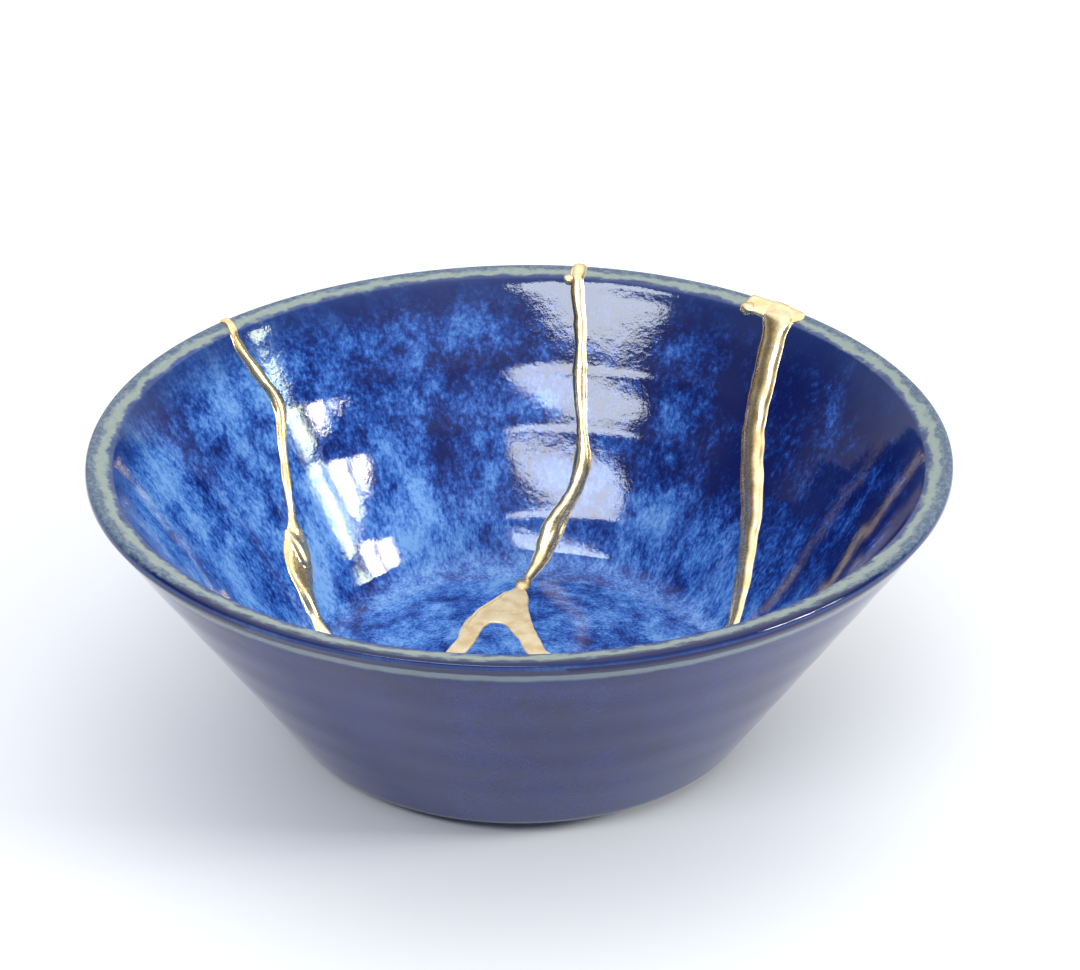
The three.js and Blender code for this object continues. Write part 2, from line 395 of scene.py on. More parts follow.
def turned(name, grow):
    """A closed turned solid of the section grown by a distance."""
    points = section(grow)
    bearings = np.arange(AROUND // 2) * 4 * math.pi / AROUND
    flat = np.ones_like(bearings)
    rings = [np.stack([r * np.sin(bearings), r * np.cos(bearings), z * flat], 1) for r, z in points[1:-1]]
    return closed_rings(name, rings, [[0, 0, points[0][1]]], [[0, 0, points[-1][1]]])


def prism(name, outline, low, high):
    """An upright solid over a closed outline in plan."""
    outline = np.asarray(outline)
    area = np.sum(outline[:, 0] * np.roll(outline[:, 1], -1) - outline[:, 1] * np.roll(outline[:, 0], -1))
    if area < 0:
        outline = outline[::-1]
    count = len(outline)
    vertices = np.vstack([np.column_stack([outline, np.full(count, z)]) for z in (low, high)])
    faces = [tuple(range(count))[::-1], tuple(range(count, 2 * count))]
    for i in range(count):
        k = (i + 1) % count
        faces.append((i, k, count + k, count + i))
    return mesh_object(name, vertices, faces)


def ribbon_outline(route, widths):
    """The outline in plan of a band along a route, with round ends."""
    ways = np.gradient(route[:, :2], axis=0)
    ways /= np.linalg.norm(ways, axis=1)[:, None]
    sides = np.column_stack([-ways[:, 1], ways[:, 0]]) * np.asarray(widths)[:, None] / 2
    left = route[:, :2] + sides
    right = route[:, :2] - sides
    arc = []
    for centre, side, sign in ((route[-1, :2], sides[-1], 1), (route[0, :2], sides[0], -1)):
        turns = -np.linspace(0, math.pi, 9)[1:-1]
        spoke = side * sign
        arc.append(np.column_stack([spoke[0] * np.cos(turns) - spoke[1] * np.sin(turns),
                                    spoke[0] * np.sin(turns) + spoke[1] * np.cos(turns)]) + centre)
    return np.vstack([left, arc[0], right[::-1], arc[1]])


ROUTES = {
    "left": smooth_route(LEFT_SEAM),
    "middle": smooth_route(MIDDLE_SEAM),
    "right": smooth_route(RIGHT_SEAM),
    "fork_left": smooth_route(FORK_LEFT_ARM),
    "fork_right": smooth_route(FORK_RIGHT_ARM),
}


def jagged(route, seed):
    """A crack's line, a little rougher than the gold that follows it."""
    ways = np.gradient(route[:, :2], axis=0)
    ways /= np.linalg.norm(ways, axis=1)[:, None]
    places = np.arange(len(route)) * ROUTE_STEP
    ends = np.clip(places / 4, 0, 1) * np.clip((places[-1] - places) / 4, 0, 1)
    shift = 0.12 * wander(places, 5, seed) * ends
    moved = route.copy()
    moved[:, :2] += np.column_stack([-ways[:, 1], ways[:, 0]]) * shift[:, None]
    return moved


def crack_bands(name, width):
    """All the cracks as upright bands of one width, joined."""
    whole = None
    for number, (key, route) in enumerate(ROUTES.items()):
        coarse = evenly(jagged(route, number), 1.2)
        band = prism(f"{name}_{key}", ribbon_outline(coarse, np.full(len(coarse), width)), -30, 90)
        whole = band if whole is None else combine(whole, band, "UNION")
    return whole


def sherd_region(name, side, fork_arm):
    """The plan of a sherd between two cracks that meet on the floor, carried out past the lip."""
    def pushed_out(route):
        return route[:1, :2] * 2 * RIM_RADIUS / np.linalg.norm(route[0, :2])
    middle = ROUTES["middle"]
    outline = np.vstack([pushed_out(side), side[::4, :2], fork_arm[3:-2:4, :2][::-1],
                         middle[::4, :2][::-1], pushed_out(middle)])
    return prism(name, outline, -30, 90)


def make_sherds():
    """The three sherds, cut from the whole bowl along the cracks."""
    bowl = whole_bowl()
    bowl = combine(bowl, crack_bands("crack", CRACK_WIDTH), "DIFFERENCE")
    regions = {
        "back_left_sherd": (ROUTES["left"], ROUTES["fork_left"]),
        "back_right_sherd": (ROUTES["right"], ROUTES["fork_right"]),
    }
    made = {}
    for node, (side, arm) in regions.items():
        plan = sherd_region(node + "_plan", side, arm)
        made[node] = combine(copy_of(bowl, node + "_glazed"), plan, "INTERSECT")
    for node, (side, arm) in regions.items():
        bowl = combine(bowl, sherd_region(node + "_cut", side, arm), "DIFFERENCE")
    bowl.name = "front_sherd_glazed"
    made["front_sherd"] = bowl
    return made


# The gold: points over a bead's top, how far its foot lies under the glaze, how thick its side film is
TOP_POINTS = 19
SINK = 0.35
FILM = 0.09

# The fork's plan where its arms meet: its left side down from the top, its notch and its right side
FORK_PLAN = [
    (-0.6, 34.6),
    (-2.4, 32.5),
    (-4.8, 29.2),
    (-8.2, 25.0),
    (-10.2, 20.5),
    (-11.0, 17.0),
    (-12.7, 13.2),
    (-14.5, 9.2),
    (-15.8, 4.4),
    (-14.2, 3.0),
    (-12.2, 5.0),
    (-10.7, 9.2),
    (-8.7, 13.2),
    (-7.6, 17.4),
    (-6.6, 19.8),
    (-4.7, 20.6),
    (-3.0, 19.8),
    (-1.6, 16.8),
    (0.1, 13.2),
    (1.0, 9.2),
    (3.2, 4.6),
    (5.4, 4.4),
    (5.0, 9.2),
    (4.0, 13.2),
    (2.9, 17.2),
    (2.3, 20.5),
    (1.7, 25.0),
    (1.5, 29.2),
    (1.4, 33.0),
]


def closed_strip(name, rows):
    """A closed mesh from rows of points that run the same way, in their order round its section."""
    ring = len(rows)
    count = len(rows[0])
    faces = [tuple(range(ring))[::-1], tuple(range((count - 1) * ring, count * ring))]
    for i in range(count - 1):
        for j in range(ring):
            k = (j + 1) % ring
            faces.append((i * ring + j, i * ring + k, (i + 1) * ring + k, (i + 1) * ring + j))
    return mesh_object(name, np.stack(rows, 1).reshape(-1, 3), faces, 60)


def section_rows(row, height):
    """Rows of a bead's section: over its top from one side to the other, then back below the glaze."""
    across = np.sin(np.linspace(-math.pi / 2, math.pi / 2, TOP_POINTS))
    return [row(q, height(q)) for q in across] + [row(q, -SINK) for q in (1, 0, -1)]


def strip(name, along, bearing, left, right, height):
    """A closed bead of gold on the skin. left and right are its half widths at each station, and
    height gives, for places from -1 to 1 across it, how high its top is there."""
    reach = np.interp(along, ALONG, SECTION[:, 0])
    d_along = np.gradient(along)
    d_round = reach * np.gradient(bearing)
    size = np.hypot(d_along, d_round)
    d_along /= size
    d_round /= size

    def row(q, height_there):
        half = np.where(q < 0, left, right) * q
        return skin(along - d_round * half, bearing + d_along * half / reach, height_there)

    return closed_strip(name, section_rows(row, height))


def floor_strip(name, route, left, right, height):
    """As strip, for a band on the bowl's floor whose route is given in plan."""
    ways = np.gradient(route[:, :2], axis=0)
    ways /= np.linalg.norm(ways, axis=1)[:, None]
    side = np.column_stack([-ways[:, 1], ways[:, 0]])

    def row(q, height_there):
        place = route[:, :2] + side * (np.where(q < 0, right, left) * q)[:, None]
        reach = np.linalg.norm(place, axis=1)
        return skin(inside_at(reach), np.arctan2(place[:, 0], place[:, 1]), height_there)

    return closed_strip(name, section_rows(row, height))


def round_top(tall, flange, ridge, ribs=0.0):
    """Heights over a bead: a half-round body, its ridge off the middle, and a thin film at each side.
    Ribs are long folds down its right half."""
    def height(q):
        body = np.clip(np.abs(q - ridge * (1 - q**2)) / (1 - flange), 0, 1)
        folds = ribs * math.sin(math.pi * max(q, 0)) * math.cos(5.5 * math.pi * q)
        return FILM * np.clip((1 - abs(q)) / 0.12, 0, 1) + tall * np.sqrt(1 - body**2) + folds
    return height


def flat_top(tall, rim=0.0):
    """Heights over a film with rounded edges and a slightly raised rim."""
    def height(q):
        return tall * math.sqrt(1 - abs(q) ** 5) + rim * math.exp(-((abs(q) - 0.84) / 0.1) ** 2)
    return height


def rounded_ends(places, start, end):
    """Narrows a band to a round tip over the last stretch at each end."""
    first = np.clip((places - places[0]) / start, 0.02, 1)
    last = np.clip((places[-1] - places) / end, 0.02, 1)
    return np.sqrt(1 - (1 - first) ** 2) * np.sqrt(1 - (1 - last) ** 2)


def seam_stations(route):
    """Stations of a seam from the base corner outside, over the lip, to its end on the floor."""
    reach = np.linalg.norm(route[:, :2], axis=1)
    turn = np.unwrap(np.arctan2(route[:, 0], route[:, 1]))
    outside = ALONG[(SECTION[:, 0] > BASE_RADIUS + 0.6) & (ALONG < WIDEST)][0]
    along = np.arange(outside, inside_at(reach[-1]), ROUTE_STEP)
    at = np.interp(along, ALONG, SECTION[:, 0])
    order = np.argsort(reach)
    return along, np.interp(at, reach[order], turn[order]), np.interp(at, reach[order], route[order, 2])


def seam_bead(name, key, seed, shape, slimness, flange):
    """A seam's bead. shape changes its half widths, height and ridge where the photo shows a form."""
    along, bearing, width = seam_stations(ROUTES[key])
    waver = 0.09 * wander(along, 9, seed) + 0.03 * wander(along, 3, seed + 1)
    left = width / 2 + waver + 0.05 * wander(along, 4, seed + 2)
    right = width / 2 + waver + 0.05 * wander(along, 4, seed + 3)
    tall = np.minimum(width * slimness, 1.2) * (1 + 0.07 * wander(along, 8, seed + 4))
    ridge = 0.1 * wander(along, 14, seed + 5)
    left, right, tall, ridge, ribs = shape(along, left, right, tall, ridge)
    tips = rounded_ends(along, 1.5, 1.5)
    tall = tall * (1 - 0.6 * bump(along, LIP_TOP + 1.5, 4.5)) * tips
    return strip(name, along, bearing, left * tips, right * tips, round_top(tall, flange, ridge, ribs * tips))


def left_form(along, left, right, tall, ridge):
    """Wider high on the wall, and a broad flat drop low down, its ridge at the left, folds at its right."""
    upper = bump(along, inside_at(0.88 * RIM_RADIUS), 12)
    drop = bump(along, inside_at(0.61 * RIM_RADIUS), 5.2)
    left = left * (1 + 0.15 * upper + 0.5 * drop)
    right = right * (1 + 0.5 * upper + 0.35 * drop)
    return left, right, tall * (1 - 0.55 * drop), ridge - 0.2 * drop, 0.14 * drop


def middle_form(along, left, right, tall, ridge):
    """Long swellings down the wall and a broad, double stretch where the seam slants to the floor."""
    top = bump(along, inside_at(0.87 * RIM_RADIUS), 2.4)
    slant = bump(along, inside_at(0.585 * RIM_RADIUS), 6)
    swell = 0.12 * np.sin((along - LIP_INSIDE) / 2.6)
    left = left * (1 + 0.25 * top + 0.35 * slant + swell)
    right = right * (1 + 0.2 * top + 0.45 * slant + swell)
    return left, right, tall * (1 - 0.2 * slant), ridge - 0.35 * slant, 0.1 * slant


def right_form(along, left, right, tall, ridge):
    """A broad even bead that flares at its right below the lip."""
    flare = bump(along, LIP_INSIDE + 0.5, 2.2)
    low = bump(along, inside_at(0.6 * RIM_RADIUS), 7)
    left = left * (1.24 + 0.1 * low)
    right = right * (1.1 + 0.4 * flare + 0.2 * low)
    return left, right, tall, ridge + 0.12, 0.0 * along


def fork_arm(name, key, seed, tall):
    """One arm of the fork: a flat film on the floor with a low raised edge."""
    route = ROUTES[key]
    places = np.arange(len(route)) * ROUTE_STEP
    tips = rounded_ends(places, 3.0, 1.6)
    left = route[:, 2] / 2 * (1 + 0.05 * wander(places, 4, seed)) * tips
    right = route[:, 2] / 2 * (1 + 0.05 * wander(places, 4, seed + 1)) * tips
    return floor_strip(name, route, left, right, flat_top(tall * tips, 0.03 * tips))


def fork_film(tall):
    """The film where the arms meet, as a plate with rounded edges that follows FORK_PLAN."""
    knots = np.array(FORK_PLAN)
    knots = np.vstack([knots, knots[:1]])
    lengths = np.concatenate([[0], np.cumsum(np.linalg.norm(np.diff(knots, axis=0), axis=1))])
    places = np.linspace(0, lengths[-1], 221)[:-1]
    outline = np.stack([np.interp(places, lengths, column) for column in knots.T], 1)
    for _ in range(6):
        outline = (np.roll(outline, 1, 0) + 2 * outline + np.roll(outline, -1, 0)) / 4
    ways = np.roll(outline, -1, 0) - np.roll(outline, 1, 0)
    ways /= np.linalg.norm(ways, axis=1)[:, None]
    outwards = np.column_stack([-ways[:, 1], ways[:, 0]])
    ragged = 0.09 * wander(places, 2.5, 71) * np.sin(math.pi * places / places[-1])
    outline = outline - outwards * ragged[:, None]
    area = np.sum(outline[:, 0] * np.roll(outline[:, 1], -1) - outline[:, 1] * np.roll(outline[:, 0], -1))
    outwards *= -math.copysign(1, area)
    count = len(outline)
    levels = [(0.0, -SINK), (0.0, 0.1), (0.04, 0.2), (0.14, tall - 0.02), (0.3, tall), (0.55, tall)]
    rings = []
    for inset, up in levels:
        rings.append(np.column_stack([outline - outwards * inset, np.full(count, FLOOR_Z + up)]))
    faces = [tuple(range(count))[::-1], tuple(range((len(levels) - 1) * count, len(levels) * count))]
    for i in range(len(levels) - 1):
        for j in range(count):
            k = (j + 1) % count
            faces.append((i * count + j, i * count + k, (i + 1) * count + k, (i + 1) * count + j))
    return mesh_object("fork_film", np.vstack(rings), faces, 60)


def fork_edge():
    """The thicker bright edge along the fork's left side."""
    route = np.column_stack([np.array(FORK_PLAN[1:6]), np.ones(5)])
    route = evenly(route, ROUTE_STEP)
    places = np.arange(len(route)) * ROUTE_STEP
    tips = rounded_ends(places, 2, 3)
    half = 0.42 * (1 + 0.25 * wander(places, 3, 73)) * tips
    return floor_strip("fork_edge", route, half, half, round_top(0.5 * tips, 0.1, 0.0))


def lip_cap(name, first, last, half, tall, start, end):
    """A flat film of gold laid along the lip between two bearings."""
    bearing = np.radians(np.arange(first, last, 0.2))
    places = bearing * RIM_RADIUS
    tips = rounded_ends(places, start, end)
    along = np.full_like(bearing, LIP_TOP + 1.7) + 0.15 * wander(places, 4, 81)
    half = half * (1 + 0.05 * wander(places, 3, 82)) * tips
    tall = tall * (1 + 0.15 * wander(places, 3, 83)) * tips
    return strip(name, along, bearing, half, half, flat_top(tall, 0.08))


def blob(name, along, bearing, length, width, tall, seed):
    """A drop of gold on the skin, round in plan. length runs down the wall, width round the bowl."""
    rings = 12
    spokes = 40
    reach = float(np.interp(along, ALONG, SECTION[:, 0]))
    turns = np.arange(spokes) * 2 * math.pi / spokes
    outline = 1 + 0.06 * wander(turns * 3 / math.pi, 2, seed, 3)

    def ring(share, height):
        down = along + share * outline * np.cos(turns) * length / 2
        return skin(down, bearing + share * outline * np.sin(turns) * width / 2 / reach, height)

    shares = np.sin(np.linspace(0, math.pi / 2, rings + 1))[1:]
    points = [ring(share, tall * math.sqrt(1 - share**2)) for share in shares] + [ring(1.0, -SINK)]
    middle = [skin(np.array([along]), np.array([bearing]), height) for height in (tall, -SINK)]
    return closed_rings(name, points, *middle)


def make_gold():
    """The gold as one closed mesh: the fill of the cracks, beads, fork, caps and drips."""
    gold = combine(crack_bands("web", WEB_WIDTH), turned("web_limit", 0.12), "INTERSECT")
    table = prism("table", [(-120, -120), (120, -120), (120, 120), (-120, 120)], -40, 0.3)
    gold = combine(gold, table, "DIFFERENCE")
    pieces = [
        seam_bead("bead_left", "left", 11, left_form, 0.36, 0.14),
        seam_bead("bead_middle", "middle", 23, middle_form, 0.33, 0.16),
        seam_bead("bead_right", "right", 37, right_form, 0.26, 0.1),
        fork_arm("arm_left", "fork_left", 51, 0.3),
        fork_arm("arm_right", "fork_right", 57, 0.3),
        fork_film(0.31),
        fork_edge(),
        blob("cap_middle", LIP_TOP + 1.6, math.radians(9.1), 5.6, 3.2, 0.3, 61),
        blob("cap_middle_lobe", LIP_INSIDE + 0.2, math.radians(7.9), 2.6, 2.2, 0.45, 62),
        lip_cap("cap_right", 36.4, 46.8, 3.4, 0.4, 1.5, 4.5),
        blob("cap_right_bulb", LIP_INSIDE - 0.2, math.radians(37.6), 3.4, 3.4, 0.8, 64),
        blob("fork_drip", inside_at(35.6), math.radians(0.9), 5.0, 3.5, 0.95, 65),
        blob("drop_ridge", inside_at(50.6), math.radians(-59.4), 9.6, 3.6, 1.4, 66),
    ]
    for piece in pieces:
        gold = combine(gold, piece, "UNION", 60)
    gold.name = "gold_seam_lacquer"
    return gold


# Materials
class Nodes:
    """A small helper that builds a material's node graph."""

    def __init__(self, name):
        self.material = bpy.data.materials.new(name)
        self.material.use_nodes = True
        self.tree = self.material.node_tree
        self.shader = self.tree.nodes["Principled BSDF"]

    def put(self, value, socket):
        """Links another node's output to a socket, or sets the socket to a plain value."""
        if isinstance(value, bpy.types.NodeSocket):
            self.tree.links.new(value, socket)
        else:
            socket.default_value = value

    def math(self, operation, a, b=0.0):
        node = self.tree.nodes.new("ShaderNodeMath")
        node.operation = operation
        self.put(a, node.inputs[0])
        self.put(b, node.inputs[1])
        return node.outputs[0]

    def plus(self, a, b):
        return self.math("ADD", a, b)

    def minus(self, a, b):
        return self.math("SUBTRACT", a, b)

    def times(self, a, b):
        return self.math("MULTIPLY", a, b)

    def between(self, value, low, high, start=0.0, end=1.0):
        """A smooth change from start to end while the value goes from low to high."""
        node = self.tree.nodes.new("ShaderNodeMapRange")
        node.interpolation_type = "SMOOTHSTEP"
        for item, socket in zip((value, low, high, start, end), node.inputs):
            self.put(item, socket)
        return node.outputs[0]

    def noise(self, vector, scale, detail=3.0, roughness=0.55, distortion=0.0):
        node = self.tree.nodes.new("ShaderNodeTexNoise")
        self.put(vector, node.inputs["Vector"])
        node.inputs["Scale"].default_value = scale
        node.inputs["Detail"].default_value = detail
        node.inputs["Roughness"].default_value = roughness
        node.inputs["Distortion"].default_value = distortion
        return node.outputs["Fac"]

    def mix(self, factor, a, b):
        node = self.tree.nodes.new("ShaderNodeMix")
        node.data_type = "RGBA"
        colours = [socket for socket in node.inputs if socket.type == "RGBA"]
        self.put(factor, node.inputs[0])
        self.put(a, colours[0])
        self.put(b, colours[1])
        return [socket for socket in node.outputs if socket.type == "RGBA"][0]

    def ramp(self, factor, stops):
        node = self.tree.nodes.new("ShaderNodeValToRGB")
        self.put(factor, node.inputs[0])
        bar = node.color_ramp
        while len(bar.elements) < len(stops):
            bar.elements.new(0.5)
        for element, (place, colour) in zip(bar.elements, stops):
            element.position = place
            element.color = colour
        return node.outputs[0]

    def bump(self, height, strength, distance, below=None):
        node = self.tree.nodes.new("ShaderNodeBump")
        node.inputs["Strength"].default_value = strength
        node.inputs["Distance"].default_value = distance
        self.put(height, node.inputs["Height"])
        if below is not None:
            self.put(below, node.inputs["Normal"])
        return node.outputs[0]

    def place(self):
        """The surface point in millimetres, as a vector, its three numbers and its reach from the axis."""
        point = self.tree.nodes.new("ShaderNodeTexCoord").outputs["Object"]
        scale = self.tree.nodes.new("ShaderNodeVectorMath")
        scale.operation = "SCALE"
        self.put(point, scale.inputs[0])
        scale.inputs["Scale"].default_value = 1 / MM
        split = self.tree.nodes.new("ShaderNodeSeparateXYZ")
        self.put(scale.outputs[0], split.inputs[0])
        x, y, z = split.outputs
        reach = self.math("SQRT", self.plus(self.times(x, x), self.times(y, y)))
        return scale.outputs[0], x, y, z, reach

    def vector(self, x, y, z):
        node = self.tree.nodes.new("ShaderNodeCombineXYZ")
        for value, socket in zip((x, y, z), node.inputs):
            self.put(value, socket)
        return node.outputs[0]


# Colours of the glaze, where it pools, where it runs thin and where it is bare, with a painted sheen low on
# the outside and painted shade on the lip's front edge
DEEP_NAVY = (0.003, 0.009, 0.085, 1)
NAVY = (0.006, 0.03, 0.18, 1)
COBALT = (0.02, 0.08, 0.34, 1)
BLUE = (0.06, 0.175, 0.49, 1)
PALE_BLUE = (0.16, 0.32, 0.62, 1)
SLATE = (0.016, 0.036, 0.145, 1)
LIP_GREY = (0.12, 0.17, 0.22, 1)
LIP_DARK = (0.05, 0.08, 0.14, 1)
CELADON = (0.28, 0.33, 0.27, 1)
# Navy of glaze pooled under the lip outside; on the lip's front edge the same colour is painted shade
POOLED_AND_SHADE = (0.004, 0.008, 0.06, 1)
THIN_LINE = (0.22, 0.29, 0.29, 1)
OUTER_DARK = (0.002, 0.006, 0.06, 1)
OUTER_BLUE = (0.005, 0.016, 0.13, 1)
# Painted reflection: a paler blue for the outside low down, standing in for the pale floor it mirrors
PAINTED_LOW_SHEEN = (0.02, 0.035, 0.14, 1)
BARE_CLAY = (0.32, 0.25, 0.19, 1)

# Painted shade: darker rings in the inner colour at the ridges between the finger grooves, where the wall's
# reflections break. For each: height above the table, spread and how much darker
PAINTED_RIDGE_SHADE = ((44.0, 2.4, 0.05), (34.0, 1.8, 0.04), (29.0, 1.6, 0.035))


def inner_glaze(n, x, y, z, mixed, ragged):
    """The inside: paler low down and at the left, darker high up, with painted shade in a few rings along the
    groove ridges, and slate at the lip.
    """
    toned = n.plus(mixed, n.between(z, 46, 14, -0.045, 0.012))
    toned = n.plus(toned, n.between(z, 44, 58, 0.0, -0.06))
    leftwards = n.times(n.plus(x, n.times(y, 0.4)), -0.08 / 60)
    toned = n.plus(toned, n.times(leftwards, n.between(z, 12, 36, 0.3, 1.0)))
    # Painted shade: each ring darkens the colour along a ridge between the finger grooves
    for height, spread, darker in PAINTED_RIDGE_SHADE:
        away = n.math("DIVIDE", n.minus(z, height), spread)
        ring = n.math("EXPONENT", n.times(n.times(away, away), -1.0))
        toned = n.minus(toned, n.times(ring, darker))
    tones = [(0.50, DEEP_NAVY), (0.58, NAVY), (0.645, COBALT), (0.715, BLUE), (0.82, PALE_BLUE)]
    colour = n.ramp(toned, tones)
    return n.mix(n.between(ragged, 69.0, 76.0, 0.0, 0.85), colour, SLATE)


def outer_glaze(n, z, mixed, mottle, bare):
    """The outside: a thin pale line under the lip, pooled glaze above it, a painted reflection of the floor
    that makes it paler low down, and bare clay on the foot.
    """
    colour = n.ramp(mixed, [(0.5, OUTER_DARK), (0.78, OUTER_BLUE)])
    # Painted reflection: the outside turns paler low down, as if it mirrored the pale floor
    colour = n.mix(n.between(z, 26, 8, 0.0, 0.6), colour, PAINTED_LOW_SHEEN)
    uneven = n.plus(z, n.minus(mottle, 0.5))
    line = n.times(n.between(uneven, 54.6, 55.6), n.between(uneven, 57.0, 56.4))
    colour = n.mix(n.times(line, 0.6), colour, THIN_LINE)
    colour = n.mix(n.between(z, 56.5, 57.0), colour, POOLED_AND_SHADE)
    return n.mix(bare, colour, BARE_CLAY)


def lip_glaze(n, y, speckle, ragged):
    """The lip: grey-green where the glaze runs thin, and painted shade that darkens its outer edge at the
    front only.
    """
    colour = n.mix(n.between(speckle, 0.4, 0.65), LIP_DARK, LIP_GREY)
    thin = n.times(n.between(ragged, 75.2, 76.2), n.between(ragged, 78.2, 77.0))
    colour = n.mix(n.times(thin, 0.7), colour, CELADON)
    # Painted shade: the dark outer edge of the lip is drawn at the front only
    pooled_and_shaded_from = n.minus(ragged, n.between(y, -66, -25, 0.0, 2.4))
    return n.mix(n.between(pooled_and_shaded_from, 77.5, 78.7), colour, POOLED_AND_SHADE)


def glaze_material():
    """Cobalt glaze, cloudy and speckled, over clay that is bare on the foot ring."""
    n = Nodes("cobalt_glaze")
    point, x, y, z, reach = n.place()
    facing = n.tree.nodes.new("ShaderNodeNewGeometry").outputs["Normal"]
    split = n.tree.nodes.new("ShaderNodeSeparateXYZ")
    n.put(facing, split.inputs[0])
    up = split.outputs[2]
    inside = n.between(up, -0.08, 0.08)

    spread = n.math("DIVIDE", 60.0, n.math("MAXIMUM", reach, 42.0))
    streak = n.vector(n.times(x, spread), n.times(y, spread), n.times(reach, 1.3))
    patches = n.noise(streak, 0.085, 3, 0.55, 0.3)
    mottle = n.noise(streak, 0.3, 3, 0.6)
    speckle = n.noise(streak, 1.15, 3, 0.7)
    mixed = n.plus(n.times(patches, 0.56), n.times(mottle, 0.32))
    mixed = n.plus(mixed, n.times(speckle, 0.46))
    ragged = n.plus(reach, n.times(n.minus(mottle, 0.5), 4.0))
    bare = n.between(n.plus(z, mottle), 3.6, 3.2)

    inner = inner_glaze(n, x, y, z, mixed, ragged)
    outer = outer_glaze(n, z, mixed, mottle, bare)
    on_lip = n.times(n.between(ragged, 74.8, 76.4), n.between(up, 0.35, 0.7))
    colour = n.mix(on_lip, n.mix(inside, outer, inner), lip_glaze(n, y, speckle, ragged))
    n.put(colour, n.shader.inputs["Base Color"])

    glossy = n.between(speckle, 0.3, 0.7, 0.03, 0.06)
    bare_outside = n.times(bare, n.minus(0.5, n.times(inside, 0.5)))
    n.put(n.plus(glossy, bare_outside), n.shader.inputs["Roughness"])
    n.shader.inputs["IOR"].default_value = 1.43
    peel = n.noise(point, 0.42, 3, 0.55)
    pits = n.noise(point, 2.6, 2, 0.5)
    normal = n.bump(peel, 0.5, 0.00005)
    normal = n.bump(speckle, 0.5, 0.00003, normal)
    n.put(n.bump(pits, 0.4, 0.00001, normal), n.shader.inputs["Normal"])
    return n.material


# Colours of the gold, from its duller to its paler places
DULL_GOLD = (0.78, 0.56, 0.27, 1)
GOLD = (0.89, 0.7, 0.39, 1)
PALE_GOLD = (0.95, 0.8, 0.52, 1)


def gold_material():
    """Gold lacquer: polished on the beads, matter and less metallic on the fork's flat film."""
    n = Nodes("gold_lacquer")
    point, _, _, z, reach = n.place()
    broad = n.noise(point, 0.35, 3, 0.55)
    grain = n.noise(point, 5.0, 3, 0.6)
    colour = n.ramp(broad, [(0.35, DULL_GOLD), (0.52, GOLD), (0.7, PALE_GOLD)])
    n.put(colour, n.shader.inputs["Base Color"])
    on_fork = n.times(n.between(reach, 35.0, 33.0), n.between(z, 12, 10.5))
    n.put(n.minus(1.0, n.times(on_fork, 0.5)), n.shader.inputs["Metallic"])
    rough = n.plus(n.between(grain, 0.35, 0.7, 0.2, 0.3), n.times(on_fork, 0.22))
    n.put(rough, n.shader.inputs["Roughness"])
    normal = n.bump(broad, 0.4, 0.00025)
    n.put(n.bump(grain, 0.25, 0.00001, normal), n.shader.inputs["Normal"])
    return n.material


def floor_material():
    """A plain pale floor."""
    n = Nodes("pale_floor")
    point = n.tree.nodes.new("ShaderNodeTexCoord").outputs["Object"]
    colour = n.ramp(n.noise(point, 3.0, 3, 0.5), [(0.3, (0.8, 0.8, 0.82, 1)), (0.7, (0.83, 0.83, 0.85, 1))])
    n.put(colour, n.shader.inputs["Base Color"])
    n.shader.inputs["Roughness"].default_value = 0.6
    return n.material


# The camera: its distance in millimetres, its angles and its focal length were fitted to the photo's rim
FRAME_WIDTH = 1080
FRAME_HEIGHT = 970
FOCAL_PIXELS = 3450
SENSOR_WIDTH = 36.0
CAMERA_DISTANCE = 637.2
CAMERA_ELEVATION = math.radians(27.26)
CAMERA_ROLL = math.radians(-0.11)
RIM_CENTRE_PIXEL = (519.5, 439.8)


def make_camera():
    """A camera that looks at the rim's middle and is turned until that lies on its own pixel."""
    target = np.array([0, 0, HEIGHT])
    away = np.array([0, -math.cos(CAMERA_ELEVATION), math.sin(CAMERA_ELEVATION)])
    position = target + CAMERA_DISTANCE * away
    right = np.array([1.0, 0, 0])
    upwards = np.cross(right, -away)
    aside = (RIM_CENTRE_PIXEL[0] - FRAME_WIDTH / 2) / FOCAL_PIXELS
    below = (RIM_CENTRE_PIXEL[1] - FRAME_HEIGHT / 2) / FOCAL_PIXELS
    forward = -away - aside * right + below * upwards
    forward /= np.linalg.norm(forward)
    right = np.cross(forward, [0, 0, 1.0])
    right /= np.linalg.norm(right)
    upwards = np.cross(right, forward)
    cosine = math.cos(CAMERA_ROLL)
    sine = math.sin(CAMERA_ROLL)
    right, upwards = cosine * right + sine * upwards, cosine * upwards - sine * right
    data = bpy.data.cameras.new("camera")
    data.sensor_width = SENSOR_WIDTH
    data.lens = FOCAL_PIXELS / FRAME_WIDTH * SENSOR_WIDTH
    data.clip_start = 0.01
    camera = bpy.data.objects.new("camera", data)
    axes = Matrix((right, upwards, -forward)).transposed().to_4x4()
    camera.matrix_world = Matrix.Translation(Vector(position * MM)) @ axes
    bpy.context.scene.collection.objects.link(camera)
    bpy.context.scene.camera = camera


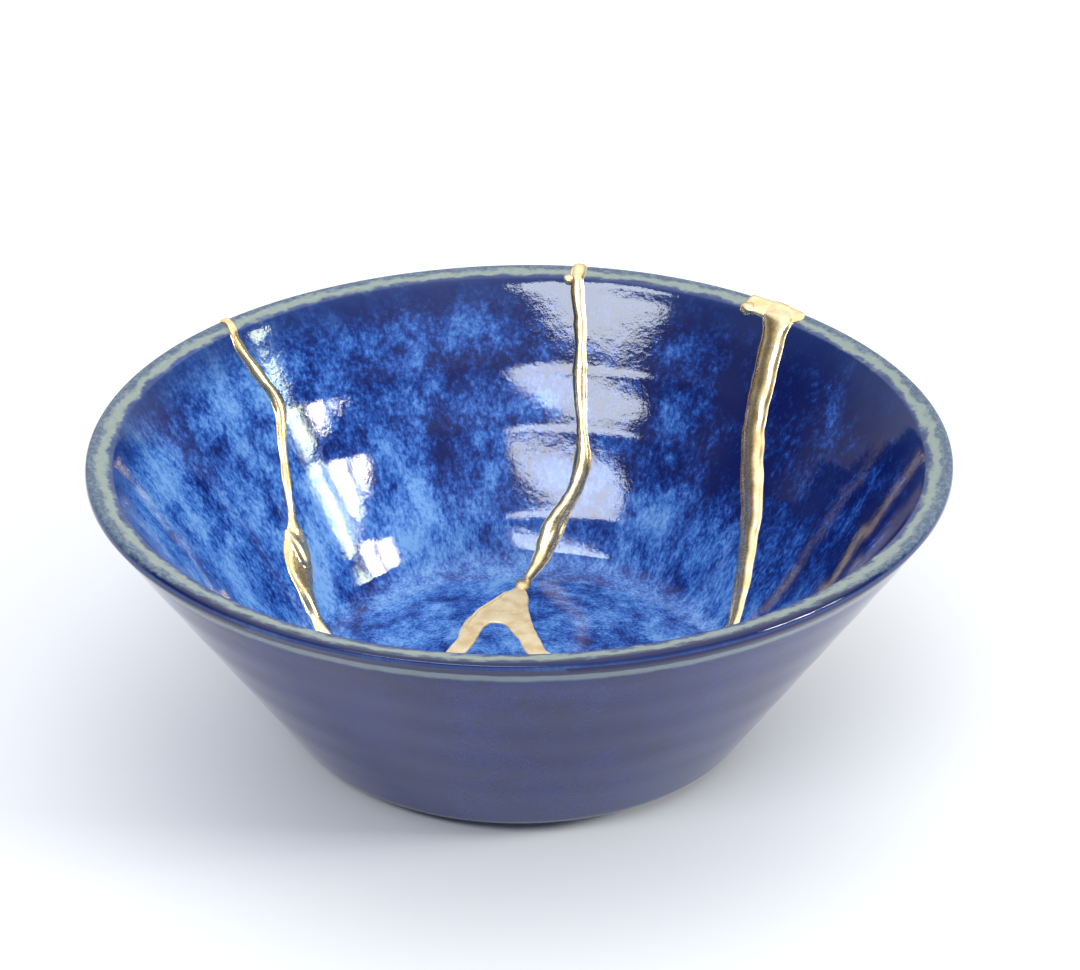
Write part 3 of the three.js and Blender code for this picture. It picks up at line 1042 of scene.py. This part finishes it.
def softbox(name, azimuth, elevation, distance, width, height, power, colour=(1, 1, 1), shape="RECTANGLE"):
    """A flat light that faces the bowl. Azimuth 0 is towards the camera, 90 to its right."""
    turn = math.radians(azimuth)
    rise = math.radians(elevation)
    way = Vector((math.sin(turn) * math.cos(rise), -math.cos(turn) * math.cos(rise), math.sin(rise)))
    data = bpy.data.lights.new(name, "AREA")
    data.shape = shape
    data.size = width
    data.size_y = height
    data.energy = power
    data.color = colour
    light = bpy.data.objects.new(name, data)
    aim = way.to_track_quat("Z", "Y").to_matrix().to_4x4()
    light.matrix_world = Matrix.Translation(way * distance + Vector((0, 0, 0.04))) @ aim
    bpy.context.scene.collection.objects.link(light)


# The side window's three strips: their width and height in metres, then for each its name, degrees to
# the side, power in watts and colour
STRIP_WIDTH = 0.22
STRIP_HEIGHT = 0.32
STRIPS = [
    ("right", -9.0, 14, (1.0, 1.0, 0.98)),
    ("middle", 0.0, 16, (1.0, 1.0, 0.98)),
    ("left", 9.5, 8, (0.86, 1.0, 0.72)),
]


def side_window(azimuth, elevation, distance):
    """Three plain strip lights side by side, which the wall mirrors as three columns."""
    for name, turn, power, colour in STRIPS:
        softbox(f"side_window_{name}", azimuth + turn, elevation, distance, STRIP_WIDTH, STRIP_HEIGHT,
                power, colour)


def make_lights():
    """A soft window in front and one at the right, placed by where the photo's bowl mirrors light."""
    softbox("soft_window", -22.5, 40.6, 2.4, 1.9, 0.32, 27, (0.86, 0.93, 1), "ELLIPSE")
    side_window(76.5, 25.7, 2.4)
    make_room()


def make_room():
    """The room as a plain glow: pale overhead and behind the bowl, dim and uneven in front of it."""
    world = bpy.data.worlds.new("room")
    world.use_nodes = True
    nodes = world.node_tree.nodes
    links = world.node_tree.links

    def fade(value, numbers):
        node = nodes.new("ShaderNodeMapRange")
        node.interpolation_type = "SMOOTHSTEP"
        links.new(value, node.inputs[0])
        for number, socket in zip(numbers, list(node.inputs)[1:]):
            socket.default_value = number
        return node.outputs[0]

    way = nodes.new("ShaderNodeTexCoord").outputs["Generated"]
    split = nodes.new("ShaderNodeSeparateXYZ")
    links.new(way, split.inputs[0])
    cloud = nodes.new("ShaderNodeTexNoise")
    cloud.inputs["Scale"].default_value = 1.7
    cloud.inputs["Detail"].default_value = 2.0
    links.new(way, cloud.inputs["Vector"])
    glow = nodes.new("ShaderNodeMath")
    links.new(fade(cloud.outputs["Fac"], (0.38, 0.62, 0.08, 0.34)), glow.inputs[0])
    links.new(fade(split.outputs[2], (0.45, 1.0, 0.0, 1.7)), glow.inputs[1])
    behind = nodes.new("ShaderNodeMath")
    links.new(glow.outputs[0], behind.inputs[0])
    links.new(fade(split.outputs[1], (0.3, 0.95, 0.0, 0.75)), behind.inputs[1])
    level = nodes.new("ShaderNodeMix")
    links.new(fade(split.outputs[2], (0.08, 0.28, 0.0, 1.0)), level.inputs["Factor"])
    links.new(fade(split.outputs[1], (-0.9, 0.3, 0.12, 0.55)), level.inputs["A"])
    links.new(behind.outputs[0], level.inputs["B"])
    nodes["Background"].inputs["Color"].default_value = (0.95, 0.97, 1, 1)
    links.new(level.outputs["Result"], nodes["Background"].inputs["Strength"])
    bpy.context.scene.world = world


def make_floor():
    """A flat floor six metres across, which is no part of the bowl."""
    half = 3000
    floor = mesh_object("floor", [(-half, -half, 0), (half, -half, 0), (half, half, 0), (-half, half, 0)],
                        [(0, 1, 2, 3)])
    floor.data.materials.append(floor_material())


def main():
    """Builds the pieces, hides the CAD part's nodes they replace, and sets up the floor, lights and camera.
    """
    glaze = glaze_material()
    for node, piece in make_sherds().items():
        piece.data.materials.clear()
        piece.data.materials.append(glaze)
        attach(piece, "root")
        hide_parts(node)
    gold = make_gold()
    gold.data.materials.clear()
    gold.data.materials.append(gold_material())
    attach(gold, "root")
    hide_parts("gold_seam")
    make_floor()
    make_lights()
    make_camera()
    bpy.context.scene.view_settings.view_transform = "Standard"


main()
